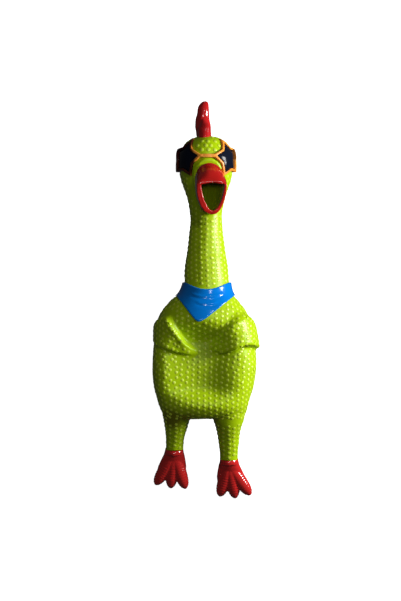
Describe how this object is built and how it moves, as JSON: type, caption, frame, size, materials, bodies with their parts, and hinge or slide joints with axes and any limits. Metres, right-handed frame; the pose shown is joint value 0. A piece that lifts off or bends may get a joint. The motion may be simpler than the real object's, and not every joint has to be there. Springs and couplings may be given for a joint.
{
  "type": "rubber chicken",
  "caption": "Hollow soft vinyl squeeze chicken with open beak, comb, star spectacles, neckerchief, folded wings, dangling legs and a squawker in its neck.",
  "frame": {"origin": "on the surface the toy lies on, under the middle of its bounding box", "axes": "+Y towards the comb, +Z out of the chicken's front, +X to the right as one looks at its front"},
  "size_m": [0.083, 0.3118, 0.0637],
  "materials": {
    "green_vinyl": "satin lime green vinyl",
    "red_paint": "glossy red paint on vinyl",
    "blue_paint": "glossy blue paint on vinyl",
    "orange_paint": "satin orange paint on vinyl",
    "lens_paint": "high gloss near-black paint on vinyl",
    "squawker_plastic": "moulded plastic",
    "reed_film": "thin springy film"
  },
  "bodies": {
    "torso": {"torso_shell": "green_vinyl", "wing_left": "green_vinyl", "wing_right": "green_vinyl", "bandana": "blue_paint"},
    "belly": {"belly_panel": "green_vinyl"},
    "neck_root": {"neck_root": "green_vinyl"},
    "neck": {"neck": "green_vinyl", "squawk_barrel": "squawker_plastic", "throat_grille": "squawker_plastic", "reed_carrier": "squawker_plastic", "tone_trough": "squawker_plastic", "reed_wedge": "squawker_plastic"},
    "reed": {"reed": "reed_film"},
    "head": {"head_shell": "green_vinyl", "comb": "red_paint", "upper_beak": "red_paint", "lower_beak": "red_paint", "glasses_frame": "orange_paint", "lens_left": "lens_paint", "lens_right": "lens_paint"},
    "leg_left": {"leg_left": "green_vinyl"},
    "foot_left": {"foot_left": "red_paint"},
    "leg_right": {"leg_right": "green_vinyl"},
    "foot_right": {"foot_right": "red_paint"}
  },
  "joints": [
    {"name": "belly_press", "type": "slide", "parent": "torso", "child": "belly", "axis": [0, 0, -1], "range_m": [0, 0.016], "stiffness_N_per_m": 400},
    {"name": "neck_sway", "type": "hinge", "parent": "torso", "child": "neck_root", "pos_m": [0.0008, 0.016, 0.026], "axis": [0, 0, 1], "range_deg": [-20, 20], "stiffness_Nm_per_rad": 0.4},
    {"name": "neck_bend", "type": "hinge", "parent": "neck_root", "child": "neck", "pos_m": [0.0009, 0.036, 0.0256], "axis": [1, 0, 0], "range_deg": [-15, 15], "stiffness_Nm_per_rad": 0.4},
    {"name": "head_nod", "type": "hinge", "parent": "neck", "child": "head", "pos_m": [0.001, 0.058, 0.0248], "axis": [1, 0, 0], "range_deg": [-20, 20], "stiffness_Nm_per_rad": 0.25},
    {"name": "reed_flutter", "type": "hinge", "parent": "neck", "child": "reed", "pos_m": [0.001, 0.045, 0.0253], "axis": [1, 0, 0], "range_deg": [-1, 8], "stiffness_Nm_per_rad": 0.0002},
    {"name": "hip_left", "type": "hinge", "parent": "torso", "child": "leg_left", "pos_m": [-0.0226, -0.096, 0.021], "axis": [-1, 0, 0], "range_deg": [-25, 50], "stiffness_Nm_per_rad": 0.05},
    {"name": "hip_right", "type": "hinge", "parent": "torso", "child": "leg_right", "pos_m": [0.0183, -0.098, 0.021], "axis": [-1, 0, 0], "range_deg": [-25, 50], "stiffness_Nm_per_rad": 0.05},
    {"name": "ankle_left", "type": "hinge", "parent": "leg_left", "child": "foot_left", "pos_m": [-0.0243, -0.1215, 0.0105], "axis": [-1, 0, 0], "range_deg": [-20, 20], "stiffness_Nm_per_rad": 0.05},
    {"name": "ankle_right", "type": "hinge", "parent": "leg_right", "child": "foot_right", "pos_m": [0.019, -0.1295, 0.0105], "axis": [-1, 0, 0], "range_deg": [-20, 20], "stiffness_Nm_per_rad": 0.05}
  ]
}
